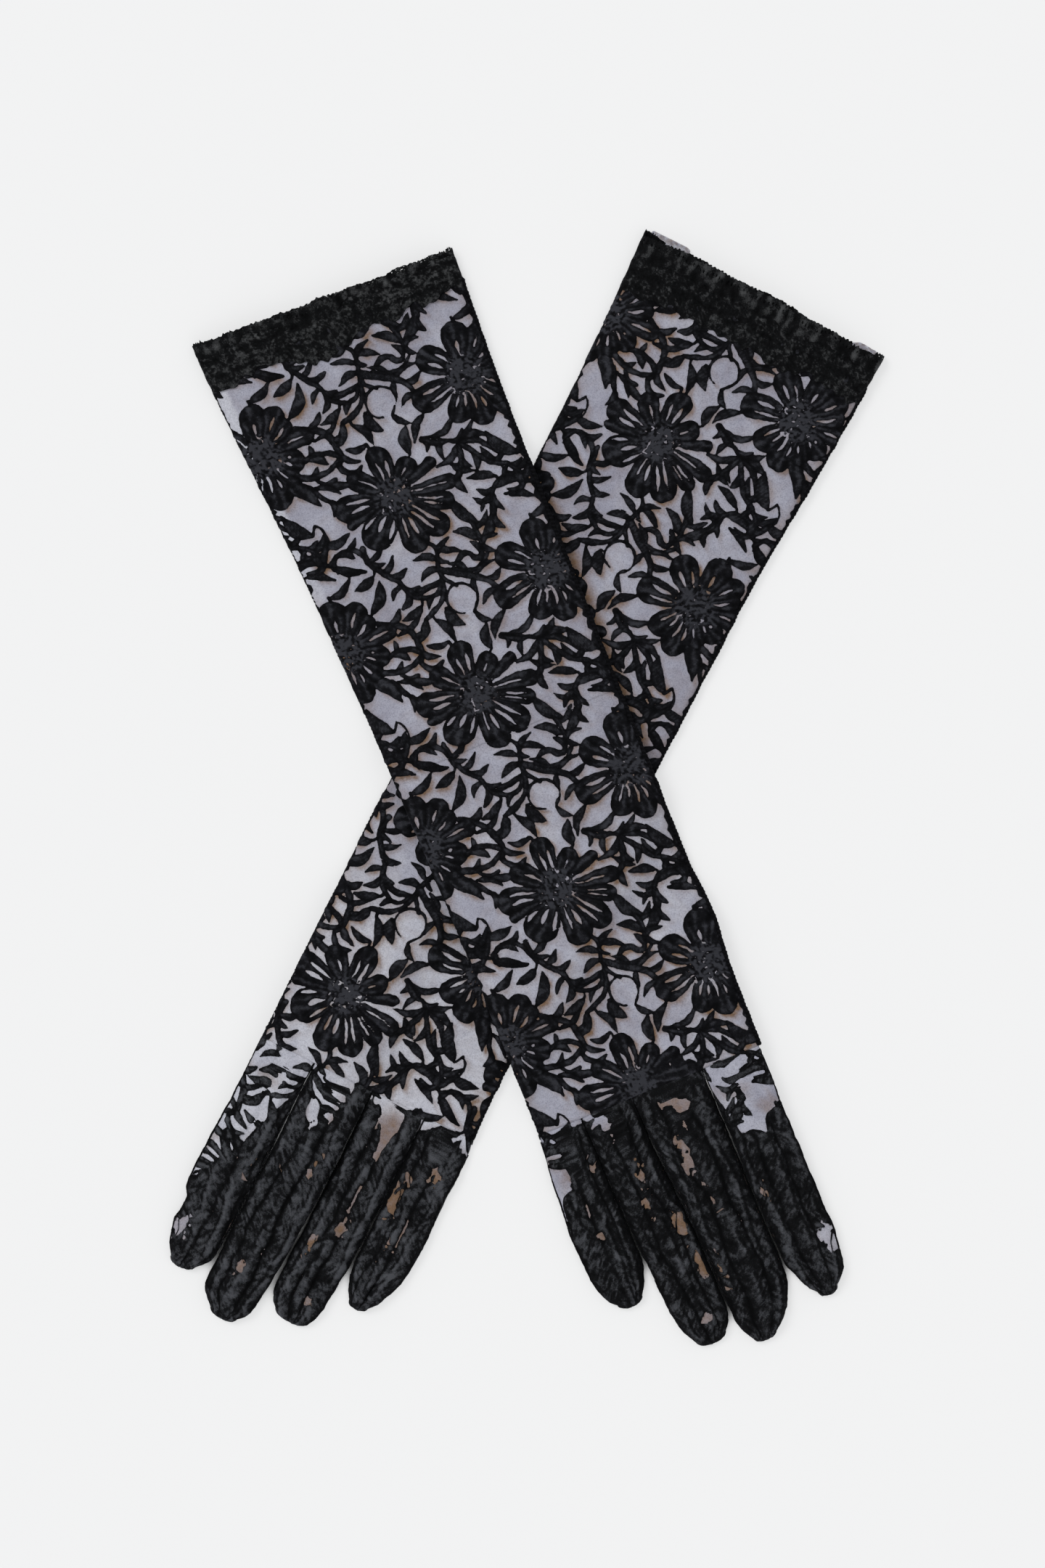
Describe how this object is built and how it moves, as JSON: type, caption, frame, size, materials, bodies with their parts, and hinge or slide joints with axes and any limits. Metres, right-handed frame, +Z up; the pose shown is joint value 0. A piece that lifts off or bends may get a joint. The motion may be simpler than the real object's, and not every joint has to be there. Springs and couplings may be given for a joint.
{
  "type": "opera gloves",
  "caption": "Pair of elbow-length black floral lace opera gloves with pale net lining and gathered cuff bands, laid flat and crossed, with folding finger stalls.",
  "frame": {"origin": "middle of the bottom of the bounding box, on the surface the gloves lie on", "axes": "+Z up from the surface, +Y from the fingertips towards the cuffs, +X from the left glove's hand towards the right glove's hand"},
  "size_m": [0.2542, 0.3916, 0.0115],
  "materials": {
    "panel_lace": "corded black floral lace",
    "net_lining": "fine pale grey lilac net",
    "hem_lace": "gathered double lace",
    "seam_tape": "overlocked seam",
    "elastic_tape": "woven elastic",
    "fourchette_lace": "plain black stretch lace",
    "stall_lace": "dense black lace, creased"
  },
  "bodies": {
    "right_sleeve": {"right_sleeve_palm": "panel_lace", "right_sleeve_palm_lining": "net_lining", "right_sleeve_back_lining": "net_lining", "right_sleeve_back": "panel_lace", "right_sleeve_thumb_seam": "seam_tape", "right_sleeve_little_seam": "seam_tape", "right_hem_band": "hem_lace", "right_cuff_elastic": "elastic_tape"},
    "right_hand": {"right_hand_palm": "panel_lace", "right_hand_palm_lining": "net_lining", "right_hand_back_lining": "net_lining", "right_hand_back": "panel_lace", "right_hand_thumb_seam": "seam_tape", "right_hand_little_seam": "seam_tape", "right_thumb_gusset": "panel_lace"},
    "right_index": {"right_index_palm": "stall_lace", "right_index_fourchette": "fourchette_lace", "right_index_back": "stall_lace"},
    "right_middle": {"right_middle_palm": "stall_lace", "right_middle_fourchette": "fourchette_lace", "right_middle_back": "stall_lace"},
    "right_ring": {"right_ring_palm": "stall_lace", "right_ring_fourchette": "fourchette_lace", "right_ring_back": "stall_lace"},
    "right_little": {"right_little_palm": "stall_lace", "right_little_fourchette": "fourchette_lace", "right_little_back": "stall_lace"},
    "right_thumb": {"right_thumb_palm": "stall_lace", "right_thumb_fourchette": "fourchette_lace", "right_thumb_back": "stall_lace"},
    "left_glove": {"left_sleeve_palm": "panel_lace", "left_sleeve_palm_lining": "net_lining", "left_sleeve_back_lining": "net_lining", "left_sleeve_back": "panel_lace", "left_sleeve_thumb_seam": "seam_tape", "left_sleeve_little_seam": "seam_tape", "left_hem_band": "hem_lace", "left_cuff_elastic": "elastic_tape", "left_hand_palm": "panel_lace", "left_hand_palm_lining": "net_lining", "left_hand_back_lining": "net_lining", "left_hand_back": "panel_lace", "left_hand_thumb_seam": "seam_tape", "left_hand_little_seam": "seam_tape", "left_thumb_gusset": "panel_lace"},
    "left_index": {"left_index_palm": "stall_lace", "left_index_fourchette": "fourchette_lace", "left_index_back": "stall_lace"},
    "left_middle": {"left_middle_palm": "stall_lace", "left_middle_fourchette": "fourchette_lace", "left_middle_back": "stall_lace"},
    "left_ring": {"left_ring_palm": "stall_lace", "left_ring_fourchette": "fourchette_lace", "left_ring_back": "stall_lace"},
    "left_little": {"left_little_palm": "stall_lace", "left_little_fourchette": "fourchette_lace", "left_little_back": "stall_lace"},
    "left_thumb": {"left_thumb_palm": "stall_lace", "left_thumb_fourchette": "fourchette_lace", "left_thumb_back": "stall_lace"}
  },
  "joints": [
    {"name": "right_glove_lift", "type": "slide", "parent": "left_glove", "child": "right_sleeve", "axis": [0, 0, 1], "range_m": [0, 0.08]},
    {"name": "right_wrist_fold", "type": "hinge", "parent": "right_sleeve", "child": "right_hand", "pos_m": [0.02036, -0.04575, 0.0117], "axis": [-0.9239, -0.3827, 0], "range_deg": [0, 85]},
    {"name": "right_index_fold", "type": "hinge", "parent": "right_hand", "child": "right_index", "pos_m": [0.07319, -0.09503, 0.00969], "axis": [-0.9259, -0.3778, 0], "range_deg": [0, 80]},
    {"name": "right_middle_fold", "type": "hinge", "parent": "right_hand", "child": "right_middle", "pos_m": [0.05158, -0.10387, 0.0078], "axis": [-0.9239, -0.3827, 0], "range_deg": [0, 80]},
    {"name": "right_ring_fold", "type": "hinge", "parent": "right_hand", "child": "right_ring", "pos_m": [0.02945, -0.1129, 0.0053], "axis": [-0.9157, -0.4019, 0], "range_deg": [0, 80]},
    {"name": "right_little_fold", "type": "hinge", "parent": "right_hand", "child": "right_little", "pos_m": [0.0118, -0.12022, 0.0053], "axis": [-0.9291, -0.3697, 0], "range_deg": [0, 80]},
    {"name": "right_thumb_swing", "type": "hinge", "parent": "right_hand", "child": "right_thumb", "pos_m": [0.05587, -0.05702, 0.002], "axis": [0, 0, 1], "range_deg": [0, 70]},
    {"name": "left_index_fold", "type": "hinge", "parent": "left_glove", "child": "left_index", "pos_m": [-0.084, -0.09244, 0.00969], "axis": [-0.8957, 0.4446, 0], "range_deg": [0, 80]},
    {"name": "left_middle_fold", "type": "hinge", "parent": "left_glove", "child": "left_middle", "pos_m": [-0.0648, -0.10189, 0.00969], "axis": [-0.8953, 0.4454, 0], "range_deg": [0, 80]},
    {"name": "left_ring_fold", "type": "hinge", "parent": "left_glove", "child": "left_ring", "pos_m": [-0.0448, -0.11153, 0.0051], "axis": [-0.8942, 0.4478, 0], "range_deg": [0, 80]},
    {"name": "left_little_fold", "type": "hinge", "parent": "left_glove", "child": "left_little", "pos_m": [-0.02615, -0.12075, 0.0051], "axis": [-0.8942, 0.4478, 0], "range_deg": [0, 80]},
    {"name": "left_thumb_swing", "type": "hinge", "parent": "left_glove", "child": "left_thumb", "pos_m": [-0.06279, -0.05968, 0.002], "axis": [0, 0, -1], "range_deg": [0, 70]}
  ]
}
